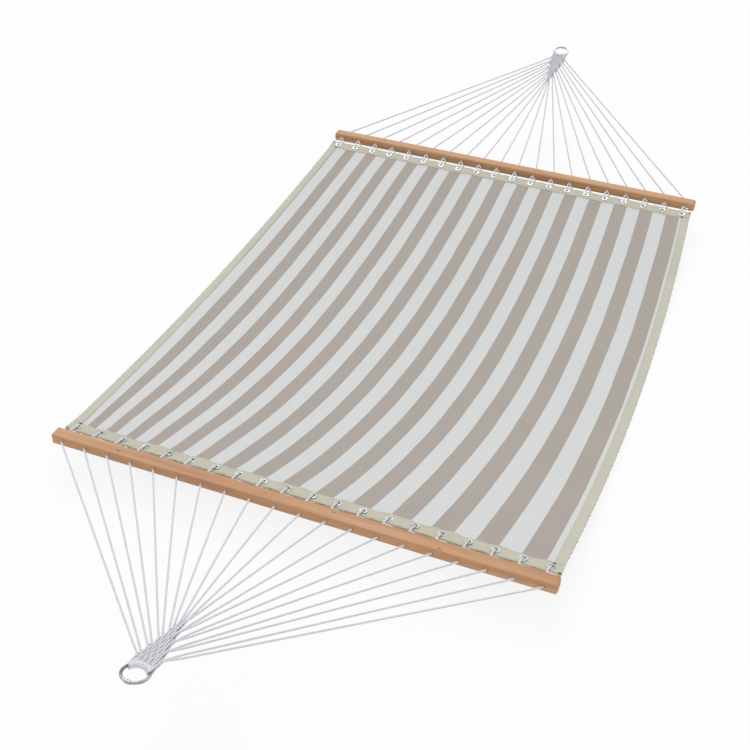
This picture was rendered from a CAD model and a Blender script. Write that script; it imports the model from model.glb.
"""Looks for a two-person hammock: striped cloth bed, wooden spreader bars, roped harnesses and rings.

Lengths are in metres. X runs along the bars, +Y towards the head, +Z up. A piece of the foot is
the head's piece with its Y turned over.
"""
import math

import bpy
import numpy as np
from mathutils import Matrix


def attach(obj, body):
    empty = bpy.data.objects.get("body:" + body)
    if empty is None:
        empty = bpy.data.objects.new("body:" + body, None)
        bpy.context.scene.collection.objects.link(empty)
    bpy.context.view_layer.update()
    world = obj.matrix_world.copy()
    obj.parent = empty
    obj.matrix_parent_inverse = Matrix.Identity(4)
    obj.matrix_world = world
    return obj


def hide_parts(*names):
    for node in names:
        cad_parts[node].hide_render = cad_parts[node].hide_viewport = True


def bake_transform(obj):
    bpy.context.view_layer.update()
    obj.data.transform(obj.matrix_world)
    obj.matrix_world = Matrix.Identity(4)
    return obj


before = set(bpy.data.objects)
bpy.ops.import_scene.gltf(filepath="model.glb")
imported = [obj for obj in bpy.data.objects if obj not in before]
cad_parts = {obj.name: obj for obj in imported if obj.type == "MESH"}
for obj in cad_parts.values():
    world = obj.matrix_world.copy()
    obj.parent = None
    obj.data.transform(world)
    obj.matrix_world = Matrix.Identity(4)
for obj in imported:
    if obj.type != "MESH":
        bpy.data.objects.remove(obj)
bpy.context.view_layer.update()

# ---- Sizes, as the frame has them ----

HALF_BED = 0.930
SAG = 0.080
HEM_W = 0.040
HEM_LAP = 0.012
BED_W = 1.390
SIDE_BOW = 0.030
BINDING_W = 0.028
CLOTH_T = 0.0024
TAPE_T = 0.0018
EDGE_T = 0.0066
GAP = 0.0003
FLOOR_GAP = EDGE_T / 2
PANEL_W = BED_W - 2 * (TAPE_T + GAP)

BED_R = (HALF_BED**2 + SAG**2 - HEM_W**2) / (2 * SAG)
SLOPE = math.atan2(HALF_BED, BED_R - SAG) - math.atan2(HEM_W, BED_R)
ARC_S = BED_R * SLOPE
EDGE_S = ARC_S + HEM_W

LINES = 20
CORDS = LINES // 2
PITCH = 0.070
EYELET_HOLE_R = 0.0073
LACE_R = 0.0025
ROPE_R = 0.00275
STRAND_R = 0.0013
EYE_R = 0.005

LINE_Y = 0.944
LINE_Z = 0.0933
MOUTH_Y = 0.99115
RISE = math.radians(15)
HARNESS_L = 0.718
RING_R = 0.0289
BIGHT_R = 0.00665
BIGHT_TURN = 2 * math.asin(0.00255 / (RING_R - BIGHT_R))
BIGHT_ROPE_R = 0.00245
WEAVE_W = HARNESS_L - RING_R - 0.014
ROW_PITCH = 0.016
EXIT_STEP = 0.006
SLOT_PITCH = 0.00565
LEG_N = 0.0042          # middle height of a cord in one layer of the weave
EASE = 0.034            # from the weave to where the lines of both layers lie nearly level
LIFT_N = 0.0014         # how far a cord rises over a strand, or dips under it

ENDS = {"head": 1, "foot": -1}


# ---- Shapes ----

def bed_line(s):
    """Y, Z and slope of the cloth's middle at arc length s from its lowest line.

    It is a circle's arc, then straight on.
    """
    slope = np.clip(s, -ARC_S, ARC_S) / BED_R
    over = s - slope * BED_R
    y = BED_R * np.sin(slope) + over * np.cos(slope)
    z = FLOOR_GAP + BED_R * (1 - np.cos(slope)) + over * np.sin(slope)
    return y, z, slope


def bow(s):
    """How far each side of the bed stands out past its corners: a parabola that is highest halfway."""
    return SIDE_BOW * np.clip(1 - (s / ARC_S) ** 2, 0, 1)


def on_bed(x, s, n):
    """Points at x across the bed, arc length s along it and height n square to the cloth."""
    x, s, n = np.broadcast_arrays(x, s, n)
    y, z, slope = bed_line(s)
    return np.stack([x, y - n * np.sin(slope), z + n * np.cos(slope)], -1)


def on_hem(x, out, n, side=1):
    """Points at x, a distance out past the hem edge, and height n square to the cloth, at one end."""
    return on_bed(x, EDGE_S + out, n) * [1, side, 1]


def on_harness(u, w, n, side=1):
    """Points in the harness plane: u across, w from the bore mouths towards the ring, n square to both."""
    u, w, n = np.broadcast_arrays(u, w, n)
    y = MOUTH_Y + w * math.cos(RISE) - n * math.sin(RISE)
    return np.stack([u, side * y, LINE_Z + w * math.sin(RISE) + n * math.cos(RISE)], -1)


def grid_faces(rows, columns, wrap_rows=False, wrap_columns=False, first=0):
    """The quads of a grid of points, row by row, joined up where it wraps."""
    r = np.arange(rows if wrap_rows else rows - 1)[:, None]
    c = np.arange(columns if wrap_columns else columns - 1)[None]
    r2, c2 = (r + 1) % rows, (c + 1) % columns
    near, far = r * columns, r2 * columns
    quads = np.stack(np.broadcast_arrays(near + c, near + c2, far + c2, far + c), -1)
    return quads.reshape(-1, 4) + first


def joined(parts):
    """Several (points, faces, values) as one."""
    points, faces, values, first = [], [], [], 0
    for part_points, part_faces, part_values in parts:
        points.append(part_points)
        faces += [[v + first for v in face] for face in part_faces]
        values.append(part_values)
        first += len(part_points)
    return np.concatenate(points), faces, np.concatenate(values)


def unit(v):
    return v / np.linalg.norm(v, axis=-1, keepdims=True)


def lengths(path):
    """Distance along a path to each of its points."""
    return np.concatenate([[0], np.cumsum(np.linalg.norm(np.diff(path, axis=0), axis=1))])


def rounded(points, reach, closed=False, steps=6):
    """A path whose corners are parabolas that start and end `reach` away, or halfway to the next corner."""
    p = np.asarray(points, float)
    before, corner, after = (np.roll(p, 1, 0), p, np.roll(p, -1, 0)) if closed else (p[:-2], p[1:-1], p[2:])

    def towards(q):
        gap = q - corner
        return corner + gap * np.clip(reach / np.linalg.norm(gap, axis=1, keepdims=True), 0, 0.5)

    t = np.linspace(0, 1, steps)[None, :, None]
    a, b = towards(before)[:, None], towards(after)[:, None]
    curve = ((1 - t) ** 2 * a + 2 * t * (1 - t) * corner[:, None] + t**2 * b).reshape(-1, 3)
    return np.concatenate([curve, curve[:1]]) if closed else np.concatenate([p[:1], curve, p[-1:]])


def evenly(path, step):
    """A path's points again, at equal steps along it."""
    keep = np.concatenate([[True], np.linalg.norm(np.diff(path, axis=0), axis=1) > 1e-7])
    path = path[keep]
    along = lengths(path)
    at = np.linspace(0, along[-1], max(4, round(along[-1] / step) + 1))
    return np.stack([np.interp(at, along, path[:, k]) for k in range(3)], -1)


def carried(tangent, side):
    """A side vector for each station of a path, turned no more than the path itself turns."""
    sides = []
    for t in tangent:
        side = side - t * (side @ t)
        side = side / np.linalg.norm(side)
        sides.append(side)
    return np.array(sides)


def laid(path, radius, side, lay=0.017, depth=0.17, sides=12, step=0.0024, closed=False, carry=False):
    """A rope of three strands along a path, as (points, faces, crown).

    At angle a round the rope its radius is radius * (1 - depth * (1 - |cos(1.5 a)|)), and that profile
    turns once every `lay` metres. The crown is |cos(1.5 a)|: 1 on a strand and 0 in a groove.
    """
    path = evenly(path, step)
    along = lengths(path)
    turns = along / lay
    if closed:
        thirds = max(1, round(3 * turns[-1]))
        turns = turns * (thirds / 3 / turns[-1])
        path, turns = path[:-1], turns[:-1]
        tangent = unit(np.roll(path, -1, 0) - np.roll(path, 1, 0))
    else:
        tangent = unit(np.gradient(path, axis=0))
    side = np.asarray(side, float)
    across = carried(tangent, side) if carry else unit(side - tangent * (tangent @ side)[:, None])
    up = np.cross(tangent, across)
    angle = 2 * math.pi * np.arange(sides) / sides
    crown = np.abs(np.cos(1.5 * angle))
    reach = (radius * (1 - depth * (1 - crown)))[None, :, None]
    round_it = (angle[None] + 2 * math.pi * turns[:, None])[..., None]
    points = path[:, None] + reach * (np.cos(round_it) * across[:, None] + np.sin(round_it) * up[:, None])
    stations = len(path)
    if closed:
        # the whole rope turns by a number of thirds, so the last station meets the first that much further on
        shift = round(thirds / 3 * sides) % sides
        faces = grid_faces(stations, sides, wrap_columns=True).tolist()
        last, start = (stations - 1) * sides, np.arange(sides)
        ahead = (start + shift) % sides
        seam = np.stack([last + start, last + (start + 1) % sides, (ahead + 1) % sides, ahead], -1)
        faces += seam.tolist()
    else:
        faces = grid_faces(stations, sides, wrap_columns=True).tolist()
        faces.append(list(range(sides))[::-1])
        faces.append([(stations - 1) * sides + k for k in range(sides)])
    return points.reshape(-1, 3), faces, np.tile(crown, stations)


def thickened(flat, faces, top, bottom):
    """A closed sheet from a flat mesh: its faces on top, turned over below, and walls along its free edges."""
    count = len(flat)
    edges = np.stack([faces, np.roll(faces, -1, 1)], -1).reshape(-1, 2)
    _, where, uses = np.unique(np.sort(edges, 1), axis=0, return_inverse=True, return_counts=True)
    free = edges[uses[where.ravel()] == 1]
    walls = np.stack([free[:, 1], free[:, 0], free[:, 0] + count, free[:, 1] + count], -1)
    return np.concatenate([top, bottom]), np.concatenate([faces, faces[:, ::-1] + count, walls])


def stitches(middle, along, up, length=0.0032, thick=0.0007):
    """Sewn stitches, each a low hump of thread: a four-sided spindle raised in the middle."""
    along, up = unit(along) * length / 2, unit(up) * thick / 2
    across = unit(np.cross(along, up)) * thick / 2
    reach = np.array([-1, -0.55, 0.55, 1])[:, None, None]
    wide = np.array([0.25, 1, 1, 0.25])[:, None, None]
    rise = np.array([-0.9, 0.4, 0.4, -0.9])[:, None, None]
    corners = np.array([[1, 1], [-1, 1], [-1, -1], [1, -1]])
    rings = middle + reach * along + rise * up
    points = np.stack([rings + wide * (a * across + b * up) for a, b in corners], 1)
    points = np.moveaxis(points, 2, 0).reshape(len(middle), 16, 3)
    one = grid_faces(4, 4, wrap_columns=True)
    one = np.concatenate([one, [[3, 2, 1, 0]], [[12, 13, 14, 15]]])
    faces = (one[None] + 16 * np.arange(len(middle))[:, None, None]).reshape(-1, 4)
    return points.reshape(-1, 3), faces


def eased(v):
    """A smooth step: 0 below 0, 1 above 1, and 3 v^2 - 2 v^3 between."""
    v = np.clip(v, 0, 1)
    return v * v * (3 - 2 * v)


def outward(points, faces):
    """Faces turned so that the closed shape that they make has a volume above zero."""
    corner = [np.array([face[k] for face in faces]) for k in range(3)]
    last = np.array([face[-1] for face in faces])
    volume = 0
    for a, b, c in ((corner[0], corner[1], corner[2]), (corner[0], corner[2], last)):
        volume += np.einsum("ij,ij->i", points[a], np.cross(points[b], points[c])).sum()
    return [face[::-1] for face in faces] if volume < 0 else faces


def piece(name, points, faces, finish, body, stands_for=(), crown=None, uv=None, sharp=40, rides=True):
    """A mesh in its place, with its finish, its body and the CAD nodes that it stands for."""
    faces = faces if isinstance(faces, list) else faces.tolist()
    faces = outward(points, faces)
    mesh = bpy.data.meshes.new(name)
    mesh.from_pydata(points.tolist(), [], faces)
    if crown is not None:
        mesh.attributes.new("crown", "FLOAT", "POINT").data.foreach_set("value", crown.astype(np.float32))
    if uv is not None:
        corners = np.empty(len(mesh.loops), np.int32)
        mesh.loops.foreach_get("vertex_index", corners)
        mesh.uv_layers.new(name="cloth").data.foreach_set("uv", uv[corners].astype(np.float32).ravel())
    mesh.polygons.foreach_set("use_smooth", np.ones(len(mesh.polygons), bool))
    mesh.set_sharp_from_angle(angle=math.radians(sharp))
    mesh.materials.append(finish)
    obj = bpy.data.objects.new(name, mesh)
    bpy.context.scene.collection.objects.link(obj)
    if rides:
        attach(obj, body)
    if stands_for:
        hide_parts(*stands_for)
    return obj


# ---- Finishes ----

class Socket:
    """One output of a finish's nodes, which can be added, multiplied and compared like a number."""

    def __init__(self, finish, link):
        self.finish, self.link = finish, link

    def math(self, operation, other=None, first=None):
        values = [v for v in (first, self, other) if v is not None]
        return self.finish.node("Math", {"operation": operation}, dict(enumerate(values)))

    def __add__(self, other):
        return self.math("ADD", other)

    def __radd__(self, other):
        return self.math("ADD", other)

    def __sub__(self, other):
        return self.math("SUBTRACT", other)

    def __rsub__(self, other):
        return self.math("SUBTRACT", first=other)

    def __mul__(self, other):
        return self.math("MULTIPLY", other)

    def __rmul__(self, other):
        return self.math("MULTIPLY", other)

    def __truediv__(self, other):
        return self.math("DIVIDE", other)

    def __pow__(self, other):
        return self.math("POWER", other)

    def __lt__(self, other):
        return self.math("LESS_THAN", other)

    def __gt__(self, other):
        return self.math("GREATER_THAN", other)


def paint(red, green, blue):
    """A colour given in 0 to 255 as a screen shows it, as the linear colour that shaders use."""
    def linear(v):
        v = v / 255
        return v / 12.92 if v <= 0.04045 else ((v + 0.055) / 1.055) ** 2.4
    return (linear(red), linear(green), linear(blue), 1)


class Finish:
    """A material made of nodes, with one Principled surface."""

    def __init__(self, name, **surface):
        self.material = bpy.data.materials.new(name)
        self.material.use_nodes = True
        self.tree = self.material.node_tree
        self.tree.nodes.clear()
        self.out = self.tree.nodes.new("ShaderNodeOutputMaterial")
        self.surface = self.tree.nodes.new("ShaderNodeBsdfPrincipled")
        self.tree.links.new(self.surface.outputs[0], self.out.inputs["Surface"])
        self.set(**surface)

    def node(self, kind, settings, sockets, out=0):
        """Adds a node: its settings first, then a value or a link for each named or numbered socket."""
        node = self.tree.nodes.new("ShaderNode" + kind)
        for key, value in settings.items():
            if key == "stops":
                while len(node.color_ramp.elements) < len(value):
                    node.color_ramp.elements.new(0.5)
                for element, (place, colour) in zip(node.color_ramp.elements, value):
                    element.position, element.color = place, colour
            else:
                setattr(node, key, value)
        for key, value in sockets.items():
            self.feed(node.inputs[key], value)
        return Socket(self, node.outputs[out])

    def feed(self, socket, value):
        if isinstance(value, Socket):
            self.tree.links.new(value.link, socket)
        else:
            socket.default_value = value

    def set(self, **surface):
        """Sets sockets of the surface; an underscore in a name stands for a space."""
        for key, value in surface.items():
            self.feed(self.surface.inputs[key.replace("_", " ")], value)

    def place(self, scale=(1, 1, 1), turn=(0, 0, 0), kind="Object"):
        where = self.node("TexCoord", {}, {}, kind)
        return self.node("Mapping", {}, {"Vector": where, "Scale": scale, "Rotation": turn})

    def noise(self, where, scale, detail=2, roughness=0.5):
        sockets = {"Vector": where, "Scale": scale, "Detail": detail, "Roughness": roughness}
        return self.node("TexNoise", {}, sockets)

    def wave(self, where, scale, axis, distortion=0.0):
        settings = {"wave_type": "BANDS", "bands_direction": axis, "wave_profile": "SIN"}
        sockets = {"Vector": where, "Scale": scale, "Distortion": distortion, "Detail": 1.0,
                   "Detail Scale": 1.5}
        return self.node("TexWave", settings, sockets, 1)

    def mix(self, amount, a, b):
        return self.node("Mix", {"data_type": "RGBA"}, {0: amount, 6: a, 7: b}, 2)

    def ramp(self, value, *stops):
        return self.node("ValToRGB", {"stops": stops}, {"Fac": value})

    def bump(self, height, distance, strength=1.0):
        made = self.node("Bump", {}, {"Height": height, "Distance": distance, "Strength": strength})
        self.set(Normal=made)


def grey(v):
    return (v, v, v, 1)


CUT_W = PANEL_W + 2 * SIDE_BOW
STRIPE_W = 0.0461
STRIPE_START = 0.0300      # from the cloth's left edge to its first white stripe


def striped_finish():
    """Solution-dyed cloth: taupe and white stripes along the bed, in a plain weave with a slight slub."""
    f = Finish("striped_cloth", Roughness=0.82, Specular_IOR_Level=0.25, Sheen_Weight=0.12,
               Sheen_Roughness=0.5)
    flat = f.node("UVMap", {"uv_map": "cloth"}, {})
    across = f.node("SeparateXYZ", {}, {0: flat}, 0)
    drift = f.noise(f.node("Mapping", {}, {"Vector": flat, "Scale": (2.0, 5.0, 1)}), 1.0, 2)
    ragged = f.noise(f.node("Mapping", {}, {"Vector": flat, "Scale": (40, 500, 1)}), 1.0, 1)
    place = across - STRIPE_START + (drift - 0.5) * 0.006 + (ragged - 0.5) * 0.0012
    phase = (place / (2 * STRIPE_W)).math("FRACT")
    white = phase < 0.5
    weft = f.wave(flat, 1 / 0.0022 / 2, "Y")
    warp = f.wave(flat, 1 / 0.0016 / 2, "X")
    thread = (weft * 0.6 + warp * 0.4)
    slub = f.noise(f.node("Mapping", {}, {"Vector": flat, "Scale": (14, 320, 1)}), 1.0, 3, 0.6)
    cloud = f.noise(f.node("Mapping", {}, {"Vector": flat, "Scale": (3, 3, 1)}), 1.0, 3)
    light = slub * 0.5 + cloud * 0.3 + thread * 0.2
    taupe = f.mix(light, paint(162, 154, 146), paint(183, 175, 167))
    pale = f.mix(light, paint(206, 207, 207), paint(223, 224, 224))
    f.set(Base_Color=f.mix(white, taupe, pale))
    f.bump(thread * 0.7 + slub * 0.3, 0.0005, 0.5)
    return f.material


def tape_finish(name, dark, bright, run):
    """Woven edging tape: fine ribs across its run, with a little unevenness in the dye."""
    f = Finish(name, Roughness=0.78, Specular_IOR_Level=0.25, Sheen_Weight=0.1)
    where = f.place()
    rib = f.wave(where, 1 / 0.0016 / 2, run)
    cross = f.wave(where, 1 / 0.0021 / 2, "X" if run == "Y" else "Y")
    cloud = f.noise(f.place((9, 9, 30)), 1.0, 3)
    fleck = f.noise(f.place((260, 260, 260)), 1.0, 2)
    f.set(Base_Color=f.mix(cloud * 0.55 + rib * 0.25 + fleck * 0.2, dark, bright))
    f.bump(rib * 0.5 + cross * 0.3 + fleck * 0.2, 0.0004, 0.6)
    return f.material


def rope_finish(name, groove, strand, crown_light, roughness):
    """Laid rope: each strand is brightest on its crown and darkest in the groove, with fine fibres."""
    f = Finish(name, Roughness=roughness, Specular_IOR_Level=0.3, Sheen_Weight=0.15)
    crown = f.node("Attribute", {"attribute_name": "crown"}, {}, "Fac")
    fibre = f.noise(f.place((900, 900, 900)), 1.0, 2)
    cloud = f.noise(f.place((25, 25, 25)), 1.0, 2)
    body = f.mix(cloud * 0.5 + fibre * 0.5, strand, crown_light)
    f.set(Base_Color=f.mix(crown ** 0.7, groove, body))
    f.bump(fibre * 0.5 + crown * 0.5, 0.0004, 0.45)
    return f.material


KNOTS = ((-0.497, 0.004, 0.0035), (0.118, -0.005, 0.0028), (0.402, 0.010, 0.003))


def wood_finish():
    """Oiled hardwood: long grain along X, drifting growth bands, fine pores and a few small knots."""
    f = Finish("oiled_wood", Specular_IOR_Level=0.35, Coat_Roughness=0.3)
    long_grain = f.place((2.2, 60, 60))
    drift = f.noise(f.place((1.3, 9, 9)), 1.0, 3)
    bands = f.noise(long_grain, 1.0, 5, 0.6)
    pores = f.noise(f.place((22, 900, 900)), 1.0, 2)
    fine = f.noise(f.place((8, 260, 260)), 1.0, 3)
    tone = bands * 0.5 + drift * 0.35 + fine * 0.15
    base = f.ramp(tone, (0.28, paint(166, 116, 78)), (0.46, paint(188, 140, 99)),
                  (0.58, paint(202, 157, 117)), (0.74, paint(213, 172, 134)))
    streak = f.ramp(pores, (0.30, grey(1)), (0.42, grey(0)))
    colour = f.mix(streak * 0.35, base, paint(150, 98, 60))
    where = f.node("SeparateXYZ", {}, {0: f.place()}, 0)
    across = f.node("SeparateXYZ", {}, {0: f.place()}, 1)
    level = across.math("ABSOLUTE") - 0.970
    knot = None
    for x, y, size in KNOTS:
        gap = (((where - x) / 1.7) ** 2 + (level - y) ** 2).math("SQRT") / size
        spot = (1.4 - gap).math("MAXIMUM", 0.0).math("MINIMUM", 1.0)
        knot = spot if knot is None else knot.math("MAXIMUM", spot)
    f.set(Base_Color=f.mix(knot * 0.75, colour, paint(112, 66, 38)))
    f.set(Roughness=0.40 + bands * 0.18, Coat_Weight=0.12)
    f.bump(bands * 0.4 + pores * 0.4 + fine * 0.2, 0.0005, 0.5)
    return f.material


def metal_finish(name, dark, bright, roughness, scale):
    """Plated metal: bright, with drawn streaks, faint handling marks and duller patches."""
    f = Finish(name, Metallic=1.0, Specular_IOR_Level=0.5)
    patch = f.noise(f.place((scale, scale, scale)), 1.0, 3)
    scuff = f.noise(f.place((1400, 1400, 300)), 1.0, 2)
    f.set(Base_Color=f.mix(f.ramp(patch, (0.35, grey(0)), (0.62, grey(1))), dark, bright))
    f.set(Roughness=roughness + patch * 0.14 + scuff * 0.06)
    f.bump(scuff * 0.6 + patch * 0.4, 0.00025, 0.35)
    return f.material


def thread_finish(name, dark, bright):
    """Sewing thread with a soft lustre."""
    f = Finish(name, Roughness=0.5, Specular_IOR_Level=0.4)
    f.set(Base_Color=f.mix(f.noise(f.place((700, 700, 700)), 1.0, 2), dark, bright))
    return f.material


STRIPED = striped_finish()
HEM_TAPE = tape_finish("hem_tape", paint(187, 184, 166), paint(210, 207, 191), "X")
SIDE_TAPE = tape_finish("side_tape", paint(188, 186, 168), paint(212, 210, 195), "Y")
ROPE = rope_finish("harness_rope", paint(198, 196, 205), paint(235, 234, 240), paint(247, 246, 250), 0.7)
LACING = rope_finish("white_lacing", paint(208, 211, 214), paint(240, 241, 242), paint(250, 250, 250), 0.6)
WOOD = wood_finish()
EYELET_METAL = metal_finish("eyelet_metal", paint(150, 152, 156), paint(214, 217, 221), 0.24, 60)
RING_STEEL = metal_finish("ring_steel", paint(118, 120, 126), paint(196, 199, 204), 0.15, 24)
SEWING = thread_finish("sewing_thread", paint(176, 176, 150), paint(220, 220, 200))
TACKING = thread_finish("tacking_thread", paint(70, 48, 34), paint(104, 74, 52))


# ---- Bed ----

CLOTH_ROWS, CLOTH_COLUMNS = 189, 141
BINDING_STATIONS = 641


def bed_lift(x, s):
    """Height of the cloth's soft waves: broad swells over the bed, and folds that fan from the eyelets."""
    from_side = PANEL_W / 2 + bow(s) - np.abs(x)
    from_hem = ARC_S - np.abs(s)
    inside = np.clip(from_side / 0.09, 0, 1) * np.clip(from_hem / 0.10, 0, 1)
    swell = 0.0021 + 0.0012 * np.sin(5.1 * x + 2.2 * s + 0.6) + 0.0009 * np.sin(8.3 * x - 3.7 * s + 1.9)
    near_end = np.exp(-(EDGE_S - np.abs(s)) / 0.085)
    folds = 0.0016 * np.cos(2 * math.pi * x / PITCH) * near_end
    fine = 0.0004 * np.sin(61 * x + 9 * np.sin(3.1 * s)) * np.sin(11 * s + 1.3)
    rise = np.clip(from_side / 0.05, 0, 1) * np.clip(from_hem / 0.03, 0, 1)
    return eased(inside) * (swell + fine) + rise * folds


def gathered(across, along):
    """The cloth's own place under each place of the bed, both counted from -1 to 1 over the width.

    The bed shows the cloth's place q at q + b (q^2 - 1), so the stripes crowd towards the left. The
    strength b is 0.037 at the head and grows to 0.217 at the foot as the fourth power of the way there.
    """
    b = 0.037 + 0.18 * np.clip((1 - along) / 2, 0, 1) ** 4
    return (np.sqrt(np.maximum(1 + 4 * b * (b + across), 0)) - 1) / (2 * b)


def bed_cloth():
    """A closed grid: its top is the bed's line lifted by bed_lift, and its underside a cloth's thickness below."""
    across = np.linspace(-1, 1, CLOTH_COLUMNS)[None]
    s = np.linspace(-ARC_S - HEM_LAP, ARC_S + HEM_LAP, CLOTH_ROWS)[:, None]
    x = across * (PANEL_W / 2 + bow(s))
    lift = bed_lift(x, s)
    top = on_bed(x, s, lift + CLOTH_T / 2).reshape(-1, 3)
    bottom = on_bed(x, s, lift - CLOTH_T / 2).reshape(-1, 3)
    cut = gathered(across, s / ARC_S) * CUT_W / 2
    flat = np.stack([v.ravel() for v in np.broadcast_arrays(cut + CUT_W / 2, s + ARC_S + HEM_LAP)], -1)
    points, faces = thickened(flat, grid_faces(CLOTH_ROWS, CLOTH_COLUMNS), top, bottom)
    return piece("bed_cloth", points, faces, STRIPED, "bed", ["bed_panel"],
                 uv=np.tile(flat, (2, 1)))


def gathers(s, seed):
    """Uneven gathers along a tape: three waves of close lengths, drifting in and out of step."""
    turn = 2 * math.pi * s
    return (np.sin(turn / 0.0137 + seed) + 0.7 * np.sin(turn / 0.0191 + 2.3 * seed + np.sin(9 * s))
            + 0.5 * np.sin(turn / 0.0313 + 4.1 * seed)) / 2.2


def side_binding(side):
    """A tape folded round the cloth's edge: a U-shaped outline carried along the bed, gathered by stitching.

    The gathers are ridges across the tape, highest halfway between its inner edge and its fold, and they
    push the fold in and out, so that the edge is scalloped.
    """
    s = np.linspace(-ARC_S + 0.0004, ARC_S - 0.0004, BINDING_STATIONS)[:, None]
    inner, thick = CLOTH_T / 2 + GAP, EDGE_T / 2
    turn = np.linspace(math.pi / 2, -math.pi / 2, 9)
    run = np.linspace(0, BINDING_W - thick, 9)
    outer_x = np.concatenate([run, BINDING_W - thick + thick * np.cos(turn[1:-1]), run[::-1]])
    outer_n = np.concatenate([np.full(9, thick), thick * np.sin(turn[1:-1]), np.full(9, -thick)])
    depth = BINDING_W - TAPE_T - inner
    back = np.linspace(0, depth, 5)
    inner_x = np.concatenate([back, depth + inner * np.cos(turn[2:-2]), back[::-1]])[::-1]
    inner_n = np.concatenate([np.full(5, inner), inner * np.sin(turn[2:-2]), np.full(5, -inner)])[::-1]
    x, n = np.concatenate([outer_x, inner_x])[None], np.concatenate([outer_n, inner_n])[None]
    on_outside = np.concatenate([np.ones(len(outer_x)), np.zeros(len(inner_x))])[None]
    ridge = on_outside * np.sin(math.pi * np.clip(x / BINDING_W, 0, 1)) ** 0.7
    wave = gathers(s + 0.010 * x / BINDING_W, 1.3 if side > 0 else 4.2)
    n = n + np.sign(n) * ridge * (0.0008 * wave + 0.0002)
    n = n + 0.0007 * (x / BINDING_W) * gathers(s * 0.41, 2.2 * side)
    x = x + (x / BINDING_W) ** 2 * 0.0016 * gathers(s * 0.8 + 0.3, side)
    n = np.maximum(n, 0.0003 - FLOOR_GAP - (bed_line(s)[1] - FLOOR_GAP))
    points = on_bed(side * (BED_W / 2 + bow(s) - BINDING_W + x), s, n)
    rows, columns = points.shape[:2]
    faces = grid_faces(rows, columns, wrap_columns=True).tolist()
    half = len(outer_x)
    for row in (0, rows - 1):
        # each end is closed by quads between the outer outline and the inner one
        ends = row * columns + np.arange(columns)
        out_at = np.round(np.linspace(0, half - 1, 13)).astype(int)
        in_at = columns - 1 - np.round(np.linspace(0, columns - half - 1, 13)).astype(int)
        cap = []
        for k in range(12):
            outer_run = list(range(out_at[k], out_at[k + 1] + 1))
            inner_run = list(range(in_at[k + 1], in_at[k] + 1))
            cap.append([int(ends[v]) for v in outer_run + inner_run])
        faces += [face[::-1] for face in cap] if row == 0 else cap
    name = "right" if side > 0 else "left"
    return piece(f"{name}_binding", points.reshape(-1, 3), faces, SIDE_TAPE, "bed",
                 [f"{name}_side_binding"])


def hem_tiles():
    """The hem laid flat, as one tile round each eyelet hole: rings of points from the hole to the tile's edge."""
    middles = (np.arange(LINES) - (LINES - 1) / 2) * PITCH
    left = np.where(np.arange(LINES) == 0, BED_W / 2 + middles[0], PITCH / 2)
    right = left[::-1]
    wide, high = np.linspace(-1, 1, 15)[:-1], np.linspace(-1, 1, 11)[:-1]
    px = np.concatenate([wide, np.ones(10), -wide, -np.ones(10)])
    py = np.concatenate([-np.ones(14), high, np.ones(14), -high])
    edge_x = np.where(px < 0, px * left[:, None], px * right[:, None])
    edge_y = np.broadcast_to(py * HEM_W / 2, edge_x.shape)
    away = np.hypot(edge_x, edge_y)
    q = np.array([0, 0.1, 0.26, 0.45, 0.65, 0.82, 0.93, 1])[None, :, None]
    hole = EYELET_HOLE_R
    x = (1 - q) * (hole * edge_x / away)[:, None] + q * edge_x[:, None] + middles[:, None, None]
    y = (1 - q) * (hole * edge_y / away)[:, None] + q * edge_y[:, None] - HEM_W / 2
    flat = np.stack([x, y], -1).reshape(-1, 2)
    rings, count = q.size, px.size
    tile = grid_faces(rings, count, wrap_columns=True)
    faces = (tile[None] + rings * count * np.arange(LINES)[:, None, None]).reshape(-1, 4)
    _, first, where = np.unique(np.round(flat, 7), axis=0, return_index=True, return_inverse=True)
    return flat[first], where.ravel()[faces]


def hem_wander(x, out, side):
    """How far the hem's inner edge strays: two waves of unlike lengths, larger at the foot, gone within 10 mm."""
    wave = np.sin(2 * math.pi * x / 0.137 + 0.9 * side) + 0.6 * np.sin(2 * math.pi * x / 0.059 + 1.7 * side)
    return (0.0028 if side < 0 else 0.0013) * wave * np.clip((-0.030 - out) / 0.010, 0, 1) ** 1.5


def hem_tape(end, side):
    """A folded hem: two faces that meet in a rounded fold, waving a little between the eyelets."""
    flat, faces = hem_tiles()
    x, out = flat.T
    near = np.abs((x / PITCH + LINES / 2 + 0.5) % 1 - 0.5) * PITCH
    free = eased((np.hypot(near, out + HEM_W / 2) - 0.0125) / 0.014)
    turn = 2 * math.pi * x
    wave = 0.0011 * np.sin(turn / 0.047 + 1.1 * side) + 0.0008 * np.sin(turn / 0.083 + 2.0)
    reach = np.clip((out + HEM_W) / HEM_W, 0, 1)
    middle = free * wave * reach
    fold = np.clip((out + EDGE_T / 2) / (EDGE_T / 2), 0, 1)
    half = EDGE_T / 2 * np.sqrt(np.maximum(1 - fold**2, 0.02))
    half = half * (1 - 0.22 * np.exp(-((out + HEM_W) / 0.004) ** 2))
    pull = free * reach**2 * (0.0013 * np.sin(2 * math.pi * x / 0.0353 + side) - 0.0009)
    pull = pull + hem_wander(x, out, side)
    top, bottom = (on_hem(x, out + pull, middle + half * k, side) for k in (1, -1))
    points, faces = thickened(flat, faces, top, bottom)
    return piece(f"{end}_hem_tape", points, faces, HEM_TAPE, "bed", [f"{end}_hem"], sharp=55)


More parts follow.
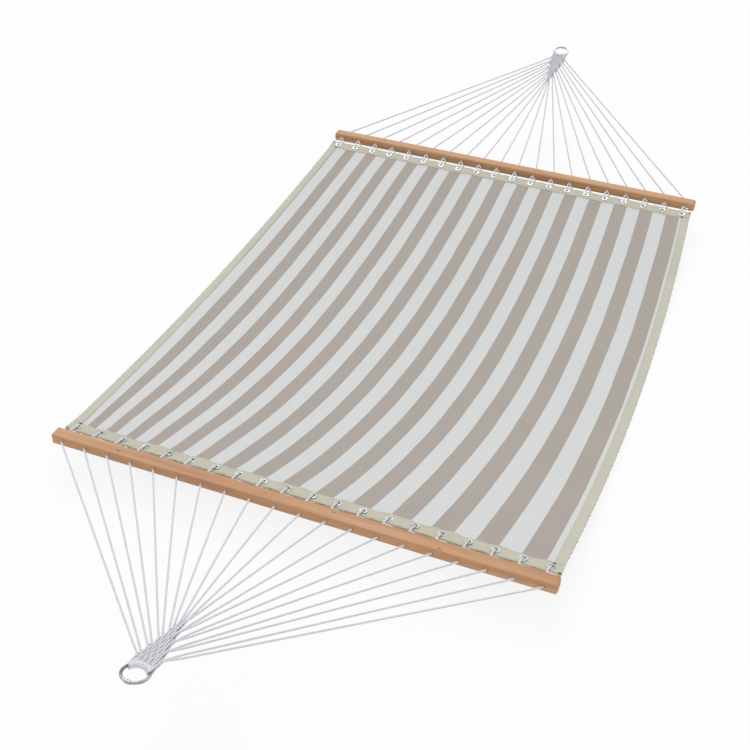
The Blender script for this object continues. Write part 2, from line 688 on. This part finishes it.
def sewn_rows():
    """Two rows of stitches along each binding and each hem, on both faces, and tacks at the corners."""
    rows = []
    s = np.arange(-ARC_S + 0.006, ARC_S - 0.005, 0.0046)
    run = np.stack([bow(s + 0.001) - bow(s), 0 * s, 0 * s], -1)
    for side in (1, -1):
        for inset, face in ((0.0022, 1), (0.0022, -1)):
            x = side * (BED_W / 2 + bow(s) - BINDING_W + inset)
            up = on_bed(0, s, face) - on_bed(0, s, 0)
            middle = on_bed(x, s, face * (EDGE_T / 2 + 0.0002))
            ahead = on_bed(0, s + 0.001, 0) - on_bed(0, s, 0) + side * run
            keep = middle[:, 2] > 0.0006
            rows.append((middle[keep], ahead[keep], up[keep]))
    x = np.arange(-BED_W / 2 + 0.006, BED_W / 2 - 0.005, 0.0046)
    for side in ENDS.values():
        for out, drop in ((-HEM_W + 0.0025, 0.00055), (-HEM_W + 0.0062, 0.0001)):
            for face in (1, -1):
                middle = on_hem(x, out + hem_wander(x, out, side), face * (EDGE_T / 2 - drop), side)
                up = on_hem(x, out, face, side) - on_hem(x, out, 0, side)
                rows.append((middle, np.broadcast_to([1.0, 0, 0], middle.shape), up))
    made = [stitches(*row) for row in rows]
    points, faces, _ = joined([(p, f.tolist(), np.zeros(len(p))) for p, f in made])
    sewing = piece("edge_stitching", points, faces, SEWING, "bed")
    tacks = []
    for side in ENDS.values():
        for edge in (1, -1):
            for inset, out in ((0.006, -0.0045), (BINDING_W - 0.002, -HEM_W + 0.004)):
                bar = np.arange(-5, 6) * 0.0007
                for face in (1, -1):
                    height = face * (EDGE_T / 2 + 0.0001)
                    middle = on_hem(edge * (BED_W / 2 - inset) + bar, out, height, side)
                    ahead = on_hem(bar, 0.001, 0, side) - on_hem(bar, 0, 0, side)
                    up = on_hem(bar, 0, face, side) - on_hem(bar, 0, 0, side)
                    tacks.append(stitches(middle, ahead, up, 0.0062, 0.0009))
    points, faces, _ = joined([(p, f.tolist(), np.zeros(len(p))) for p, f in tacks])
    return [sewing, piece("corner_tacks", points, faces, TACKING, "bed")]


cloth = bed_cloth()
edging = [side_binding(1), side_binding(-1)]
edging += [hem_tape(end, side) for end, side in ENDS.items()]
edging += sewn_rows()


# ---- Lacing ----

LINE_OUT = (LINE_Y - HALF_BED) * math.cos(SLOPE) + 0.010 * math.sin(SLOPE)
LINE_N = 0.010 * math.cos(SLOPE) - (LINE_Y - HALF_BED) * math.sin(SLOPE)
LACE_OVER = 0.0080
LACE_UNDER = -0.0087
EYE_SIDE = 0.0053


def lace_turns():
    """The lace's route in the hem's frame: up through each eyelet, over the hem, through an eye, and back."""
    e = ((np.arange(LINES) - (LINES - 1) / 2) * PITCH)[:, None]
    turn = np.array([
        [0, -0.020, LACE_UNDER + 0.0045], [0, -0.020, LACE_OVER - 0.0045],
        [-0.0004, -0.0176, LACE_OVER - 0.0007], [-0.001, -0.0135, LACE_OVER], [-0.0016, -0.009, LACE_OVER],
        [-EYE_SIDE - 0.0006, LINE_OUT - 0.008, LINE_N], [-EYE_SIDE + 0.0003, LINE_OUT - 0.0018, LINE_N],
        [-EYE_SIDE + 0.0024, LINE_OUT, LINE_N], [EYE_SIDE - 0.0024, LINE_OUT, LINE_N],
        [EYE_SIDE - 0.0003, LINE_OUT - 0.0018, LINE_N - 0.0006],
        [EYE_SIDE + 0.004, LINE_OUT - 0.0085, LINE_N - 0.0045],
        [EYE_SIDE + 0.010, LINE_OUT - 0.013, LINE_N - 0.0125],
        [EYE_SIDE + 0.020, -0.008, LACE_UNDER + 0.0004],
        [PITCH - 0.008, -0.012, LACE_UNDER], [PITCH - 0.001, -0.0185, LACE_UNDER + 0.0006],
    ])
    route = turn[None] + np.concatenate([e, 0 * e, 0 * e], 1)[:, None]
    return route.reshape(-1, 3)[:-5]


def stopper(at, size=0.0015):
    """An overhand stopper knot: the trefoil (sin t + 2 sin 2t, cos t - 2 cos 2t, -sin 3t)."""
    t = np.linspace(0, 2 * math.pi, 80)
    curve = np.stack([np.sin(t) + 2 * np.sin(2 * t), np.cos(t) - 2 * np.cos(2 * t), -1.3 * np.sin(3 * t)], -1)
    return at + size * curve


def lacing(end, side):
    """The lace of one end, a laid cord, with a stopper knot at each of its ends."""
    route = rounded(lace_turns(), 0.004)
    world = on_hem(route[:, 0], route[:, 1], route[:, 2], side)
    parts = [laid(world, LACE_R, (1, 0, 0), lay=0.013, sides=12, step=0.002, carry=True)]
    last = lace_turns()[-1]
    for knot in (np.array([lace_turns()[0][0], -0.020, LACE_UNDER - 0.0035]), last + [0.005, -0.001, -0.003]):
        curve = stopper(knot)
        tied = on_hem(curve[:, 0], curve[:, 1], curve[:, 2], side)
        parts.append(laid(tied, 0.0021, (1, 0, 0), lay=0.012, sides=12, step=0.0016, carry=True))
    points, faces, crown = joined(parts)
    return piece(f"{end}_lacing", points, faces, LACING, "bed", [f"{end}_lace"], crown=crown)


def eye_splices(end, side):
    """Each cord's end through the bar, spliced into a pointed eye round the lacing line."""
    parts = []
    turn = np.linspace(0, 2 * math.pi, 41)
    point = np.maximum(np.cos(turn), 0)
    eye_y = LINE_Y + EYE_R * np.cos(turn) + 0.0035 * point**3
    eye_z = LINE_Z + EYE_R * np.sin(turn) * (1 - 0.3 * point)
    for x in (np.arange(LINES) - (LINES - 1) / 2) * PITCH:
        eye = np.stack([np.full(41, x), side * eye_y, eye_z], -1)
        parts.append(laid(eye, 0.0019, (1, 0, 0), lay=0.012, sides=12, step=0.0016, closed=True))
        tail = np.array([[x, side * y, LINE_Z] for y in (LINE_Y + 0.0072, MOUTH_Y - 0.012)])
        parts.append(laid(tail, ROPE_R, (1, 0, 0), sides=12))
    points, faces, crown = joined(parts)
    name = f"{end}_eye_splices"
    return piece(name, points, faces, ROPE, f"{end}_bar", [f"{end}_cord_eyes"], crown=crown)


# ---- Harness ----

def slot_u(slot):
    return (slot - (CORDS - 1) / 2) * SLOT_PITCH


def cord_height(slot, row):
    """A cord's height in its layer where it crosses a strand: over, then under, out of step with its neighbour."""
    return LEG_N + LIFT_N * np.where((slot + row) % 2 == 0, 1, -1)


def line_path(i, side):
    """One line: out of its bore, across to its slot in the weave, then over and under the strands to the ring."""
    row = i if i < CORDS else LINES - 1 - i
    slot = i // 2
    layer = 1 if row % 2 == 0 else -1
    x = (i - (LINES - 1) / 2) * PITCH
    rows = np.arange(row, -1, -1)
    exit_w = WEAVE_W - row * ROW_PITCH - EXIT_STEP
    weave_w = WEAVE_W - rows * ROW_PITCH
    between = np.stack([weave_w[:-1] + ROW_PITCH / 2, np.full(row, LEG_N)], -1)
    crossings = np.stack([weave_w, cord_height(slot, rows)], -1)
    steps = np.stack([crossings[:-1], between], 1).reshape(-1, 2)
    climb = np.concatenate([steps, crossings[-1:] - [0.0015, 0]])
    start = np.array([[x, side * (MOUTH_Y - 0.010), LINE_Z], [x, side * (MOUTH_Y - 0.001), LINE_Z]])
    ease_u = slot_u(slot) + (x - slot_u(slot)) * EASE / exit_w
    leave = np.stack([on_harness(ease_u, exit_w - EASE, layer * 0.001, side),
                      on_harness(slot_u(slot), exit_w, layer * LEG_N, side)])
    woven = on_harness(slot_u(slot), climb[:, 0], layer * climb[:, 1], side)
    if row == 0:
        woven = woven[-1:]
    return rounded(np.concatenate([start, leave, woven]), 0.005)


def cord(end, side, k):
    """Both lines of one cord, as laid rope."""
    across = on_harness(0, 0, 1, side) - on_harness(0, 0, 0, side)
    points, faces, crown = joined([laid(line_path(i, side), ROPE_R, across) for i in (2 * k, 2 * k + 1)])
    number = f"{k + 1:02d}"
    obj = piece(f"{end}_rope_{number}", points, faces, ROPE, "", [f"{end}_cord_{number}"],
                crown=crown, rides=False)
    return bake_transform(obj)


def strand_path(row, side):
    """One filling strand: a closed loop that weaves through the upper layer and comes back through the lower."""
    w = WEAVE_W - row * ROW_PITCH
    half = -slot_u(row // 2) + ROPE_R + STRAND_R

    def pass_through(layer):
        slots = np.array([k for k in range(CORDS) if 2 * min(k, CORDS - 1 - k) + (layer < 0) >= row])
        if not len(slots):
            return np.array([[0.0, layer * LEG_N]])
        gap = ROPE_R + STRAND_R - 0.0002
        height = cord_height(slots, row)
        height = np.where(height > LEG_N, height - gap, height + gap)
        return np.stack([slot_u(slots), layer * height], -1)

    upper, lower = pass_through(1), pass_through(-1)[::-1]
    loop = np.concatenate([[[-half, 0]], upper, [[half, 0]], lower])
    return rounded(on_harness(loop[:, 0], w, loop[:, 1], side), 0.0028, closed=True)


def weave(end, side):
    """The strands across the weave."""
    along = on_harness(0, 1, 0, side) - on_harness(0, 0, 0, side)
    rows = [laid(strand_path(row, side), STRAND_R, along, lay=0.007, depth=0.14, step=0.0012, closed=True)
            for row in range(CORDS)]
    points, faces, crown = joined(rows)
    name = f"{end}_woven_strands"
    return piece(name, points, faces, ROPE, f"{end}_harness", [f"{end}_filling"], crown=crown)


def bight_path(k, side):
    """One cord's bight: from the weave's upper layer, in a half circle round the ring wire, to the lower layer."""
    turn = (k - (CORDS - 1) / 2) * BIGHT_TURN
    u, w = RING_R * math.sin(turn), HARNESS_L - RING_R * math.cos(turn)
    wrap = np.linspace(0, math.pi, 13)
    inward = BIGHT_R * np.sin(wrap)
    height = float(cord_height(k, 0))
    leg_u = [slot_u(k), slot_u(k)]
    leg_w = [WEAVE_W - 0.004, WEAVE_W + 0.003]
    us = np.concatenate([leg_u, u - inward * math.sin(turn), leg_u[::-1]])
    ws = np.concatenate([leg_w, w + inward * math.cos(turn), leg_w[::-1]])
    ns = np.concatenate([[height, height], BIGHT_R * np.cos(wrap), [-height, -height]])
    return rounded(on_harness(us, ws, ns, side), 0.004)


def bights(end, side):
    """All the bights over one ring, bending at the top of the weave."""
    parts = []
    for k in range(CORDS):
        turn = (k - (CORDS - 1) / 2) * BIGHT_TURN
        tangent = on_harness(math.cos(turn), math.sin(turn), 0, side) - on_harness(0, 0, 0, side)
        parts.append(laid(bight_path(k, side), BIGHT_ROPE_R, tangent, sides=12, step=0.0016))
    points, faces, crown = joined(parts)
    name = f"{end}_bights"
    obj = piece(name, points, faces, ROPE, "", [f"{end}_ring_loops"], crown=crown, rides=False)
    start, finish = (tuple(on_harness(0, WEAVE_W + w, 0, side)) for w in (-0.004, 0.005))
    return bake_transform(obj)


BAND_STATIONS = 161
BAND_ARC = 25
BAND_INNER_R = 0.0039


def packed_band(end, side):
    """The bights' shared inner face round the ring wire: a half tube along the ring, ribbed by each bight.

    Its outer radius is 7.7 mm plus 0.5 mm times the squared cosine of the way between two bights, and
    it narrows to 4.5 mm at both ends.
    """
    reach = (CORDS - 1) / 2 * BIGHT_TURN + 0.085
    turn = np.linspace(-reach, reach, BAND_STATIONS)[:, None]
    wrap = np.linspace(-0.12, math.pi + 0.12, BAND_ARC)
    rib = np.cos(math.pi * (turn / BIGHT_TURN - 0.5)) ** 2
    ends = np.sqrt(np.clip((reach - np.abs(turn)) / 0.05, 0, 1))
    outer = 0.0045 + (0.0032 + 0.0005 * rib) * ends + 0 * wrap
    radius = np.concatenate([outer, np.full((BAND_STATIONS, BAND_ARC), BAND_INNER_R)], 1)
    wrap = np.concatenate([wrap, wrap[::-1]])[None]
    inward = radius * np.sin(wrap)
    u = RING_R * np.sin(turn) - inward * np.sin(turn)
    w = HARNESS_L - RING_R * np.cos(turn) + inward * np.cos(turn)
    points = on_harness(u, w, radius * np.cos(wrap), side)
    count = 2 * BAND_ARC
    faces = grid_faces(BAND_STATIONS, count, wrap_columns=True).tolist()
    for row in (0, BAND_STATIONS - 1):
        first = row * count
        cap = [[first + k, first + k + 1, first + count - 2 - k, first + count - 1 - k]
               for k in range(BAND_ARC - 1)]
        faces += [face[::-1] for face in cap] if row == 0 else cap
    crown = np.broadcast_to(0.55 + 0.45 * rib, radius.shape).ravel()
    piece(f"{end}_packed_bights", points.reshape(-1, 3), faces, ROPE, f"{end}_loops", crown=crown)


for end, side in ENDS.items():
    lacing(end, side)
    packed_band(end, side)
    eye_splices(end, side)
    for k in range(CORDS):
        cord(end, side, k)
    weave(end, side)
    bights(end, side)
    for node, finish in ((f"{end}_bar", WOOD), (f"{end}_ring", RING_STEEL), (f"{end}_eyelets", EYELET_METAL),
                         (f"{end}_eyelet_washers", EYELET_METAL)):
        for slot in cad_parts[node].material_slots:
            slot.material = finish


# ---- Studio ----

def floor():
    """A broad pale floor that stays near white to the camera and keeps part of the object's shadow."""
    f = Finish("studio_floor", Base_Color=grey(0.93), Roughness=1.0, Specular_IOR_Level=0.0)
    glow = f.tree.nodes.new("ShaderNodeEmission")
    glow.inputs["Color"].default_value = grey(1)
    blend = f.tree.nodes.new("ShaderNodeMixShader")
    rays = ("Is Camera Ray", "Is Glossy Ray", "Is Transmission Ray")
    eye = [f.node("LightPath", {}, {}, ray) for ray in rays]
    seen = eye[0].math("MAXIMUM", eye[1]).math("MAXIMUM", eye[2])
    f.tree.links.new((seen * 0.85).link, blend.inputs[0])
    f.tree.links.new(f.surface.outputs[0], blend.inputs[1])
    f.tree.links.new(glow.outputs[0], blend.inputs[2])
    f.tree.links.new(blend.outputs[0], f.out.inputs["Surface"])
    size, level = 30.0, -0.0002
    corners = ((-1, -1), (1, -1), (1, 1), (-1, 1))
    mesh = bpy.data.meshes.new("studio_floor")
    mesh.from_pydata([(x * size, y * size, level) for x, y in corners], [], [(0, 1, 2, 3)])
    mesh.materials.append(f.material)
    obj = bpy.data.objects.new("studio_floor", mesh)
    bpy.context.scene.collection.objects.link(obj)


def lamp(name, strength, spread, azimuth, elevation):
    """A soft sun that shines from a direction given in degrees: azimuth round from +Y towards +X, then up."""
    light = bpy.data.lights.new(name, "SUN")
    light.energy, light.angle = strength, math.radians(spread)
    obj = bpy.data.objects.new(name, light)
    heading = Matrix.Rotation(-math.radians(azimuth), 4, "Z")
    obj.matrix_world = heading @ Matrix.Rotation(math.radians(elevation - 90), 4, "X")
    bpy.context.scene.collection.objects.link(obj)


def sky(level):
    """An even white sky: `level` on the object, and plain white where it is seen."""
    world = bpy.data.worlds.new("studio_sky")
    world.use_nodes = True
    tree = world.node_tree
    tree.nodes.clear()
    out, back = tree.nodes.new("ShaderNodeOutputWorld"), tree.nodes.new("ShaderNodeBackground")
    ray = tree.nodes.new("ShaderNodeLightPath")
    seen = tree.nodes.new("ShaderNodeMath")
    seen.operation = "MAXIMUM"
    tree.links.new(ray.outputs["Is Camera Ray"], seen.inputs[0])
    tree.links.new(ray.outputs["Is Glossy Ray"], seen.inputs[1])
    strength = tree.nodes.new("ShaderNodeMapRange")
    tree.links.new(seen.outputs[0], strength.inputs["Value"])
    strength.inputs["To Min"].default_value = level
    strength.inputs["To Max"].default_value = 1.0
    tree.links.new(strength.outputs[0], back.inputs["Strength"])
    back.inputs["Color"].default_value = grey(1)
    tree.links.new(back.outputs[0], out.inputs["Surface"])
    bpy.context.scene.world = world


def camera(place, azimuth, elevation, roll, lens):
    """A camera that looks down by `elevation` degrees, turned left of +Y by `azimuth`, rolled anticlockwise."""
    az, el, ro = (math.radians(v) for v in (azimuth, elevation, roll))
    look = np.array([-math.sin(az) * math.cos(el), math.cos(az) * math.cos(el), -math.sin(el)])
    level = unit(np.cross(look, [0, 0, 1]))
    rise = np.cross(level, look)
    right = math.cos(ro) * level + math.sin(ro) * rise
    up = math.cos(ro) * rise - math.sin(ro) * level
    data = bpy.data.cameras.new("view")
    data.lens, data.sensor_width = lens, 36
    obj = bpy.data.objects.new("view", data)
    turn = np.eye(4)
    turn[:3, 0], turn[:3, 1], turn[:3, 2], turn[:3, 3] = right, up, -look, place
    obj.matrix_world = Matrix(turn.tolist())
    bpy.context.scene.collection.objects.link(obj)
    bpy.context.scene.camera = obj


floor()
sky(0.78)
lamp("key_light", 0.85, 40, 330, 55)
camera((0.9349, -2.8574, 2.1698), 20.7286, 38.2348, 1.3837, 55.598)
bpy.context.scene.view_settings.view_transform = "Standard"
